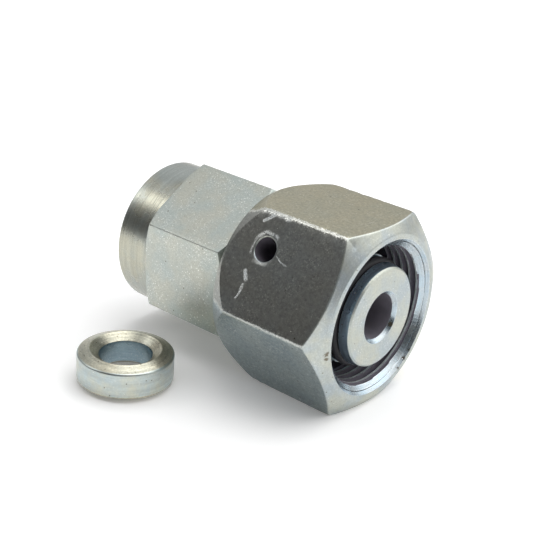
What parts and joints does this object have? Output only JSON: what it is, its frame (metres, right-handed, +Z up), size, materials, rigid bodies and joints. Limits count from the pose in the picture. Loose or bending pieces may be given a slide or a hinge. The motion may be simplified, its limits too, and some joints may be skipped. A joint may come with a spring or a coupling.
{
  "type": "pressure gauge adapter",
  "caption": "Hexagonal steel hydraulic adapter: female gauge port at one end, swivel nut round a cone nose at the other, with a loose turned sealing ring.",
  "frame": {"origin": "middle of the cone nose's end face, on the axis of the fitting", "axes": "+X along the fitting and out of its cone end, -X out of the gauge port, +Z up, square to the nut flat that the adapter lies on, +Y level"},
  "size_m": [0.0498, 0.0525, 0.032],
  "materials": {
    "body_steel": "zinc plated, fine matte grain on the hexagon, turned boss",
    "nut_steel": "zinc plated, dull and scratched, bright worn corners",
    "wire_steel": "drawn spring wire",
    "o_ring_rubber": "black nitrile, satin",
    "seal_steel": "turned soft steel"
  },
  "bodies": {
    "body": {"adapter_body": "body_steel", "retaining_wire": "wire_steel", "o_ring": "o_ring_rubber", "gauge_seal": "seal_steel"},
    "nut": {"swivel_nut": "nut_steel"}
  },
  "joints": [
    {"name": "nut_swivel", "type": "hinge", "parent": "body", "child": "nut", "pos_m": [0, 0, 0], "axis": [1, 0, 0], "continuous": true}
  ]
}
